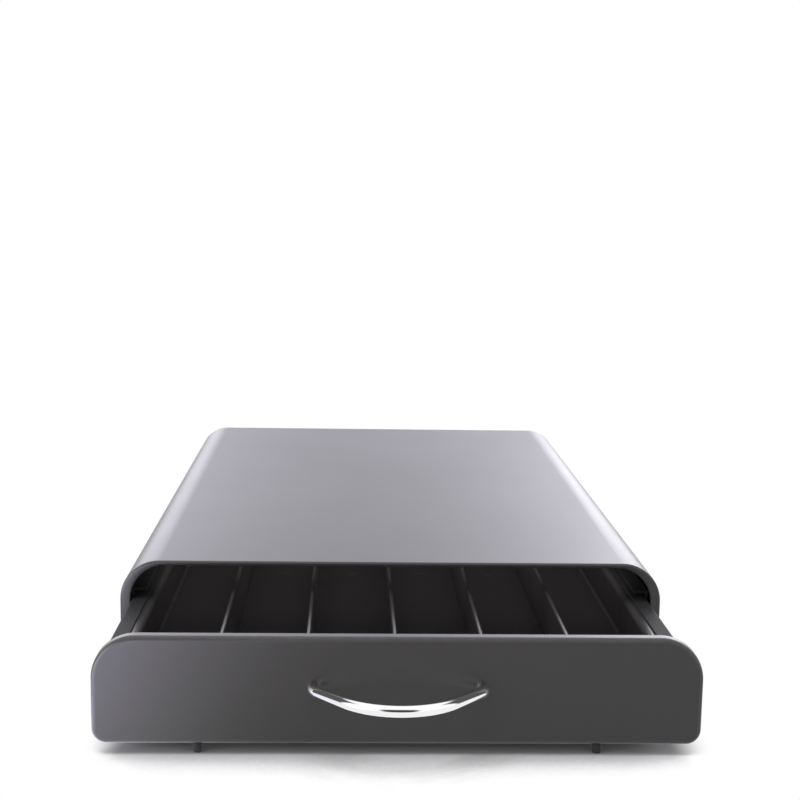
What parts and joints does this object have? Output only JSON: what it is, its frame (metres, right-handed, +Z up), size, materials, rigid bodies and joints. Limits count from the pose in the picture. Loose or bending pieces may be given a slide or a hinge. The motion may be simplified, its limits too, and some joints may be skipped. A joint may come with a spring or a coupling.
{
  "type": "coffee pod drawer",
  "caption": "Low sheet-steel housing with a rounded deck that carries a coffee machine, and a sliding drawer with lanes for pods and a chrome bow handle.",
  "frame": {"origin": "middle of the open drawer unit's box, on the counter", "axes": "+X across the drawer to the right seen from the front, +Y from the drawer front to the back, +Z up"},
  "size_m": [0.276, 0.5394, 0.055],
  "materials": {
    "black_powder_coat": "satin black powder coat",
    "chrome": "polished",
    "black_rubber": "matt",
    "black_nylon": "moulded, matt",
    "black_plastic": "extruded, satin",
    "zinc_steel": "zinc plated"
  },
  "bodies": {
    "housing": {"housing_cover": "black_powder_coat", "base_plate": "black_powder_coat", "back_panel": "black_powder_coat", "left_guide_rail": "black_plastic", "right_guide_rail": "black_plastic", "front_left_foot": "black_rubber", "front_right_foot": "black_rubber", "rear_left_foot": "black_rubber", "rear_right_foot": "black_rubber", "foot_screws": "zinc_steel", "base_screws": "zinc_steel", "frame_nuts": "zinc_steel", "back_panel_rivets": "black_powder_coat", "left_rear_bumper": "black_rubber", "right_rear_bumper": "black_rubber"},
    "drawer": {"drawer_tray": "black_powder_coat", "lane_divider_1": "black_powder_coat", "lane_divider_2": "black_powder_coat", "lane_divider_3": "black_powder_coat", "lane_divider_4": "black_powder_coat", "lane_divider_5": "black_powder_coat", "drawer_front": "black_powder_coat", "front_nuts": "zinc_steel", "handle_bow": "chrome", "handle_screws": "zinc_steel", "handle_washers": "zinc_steel", "left_front_glide": "black_nylon", "right_front_glide": "black_nylon", "left_slide_strip": "black_nylon", "right_slide_strip": "black_nylon", "stop_bracket": "black_powder_coat", "stop_bracket_rivets": "black_powder_coat"}
  },
  "joints": [
    {"name": "drawer_slide", "type": "slide", "parent": "housing", "child": "drawer", "axis": [0, -1, 0], "range_m": [-0.114, 0.1]}
  ]
}
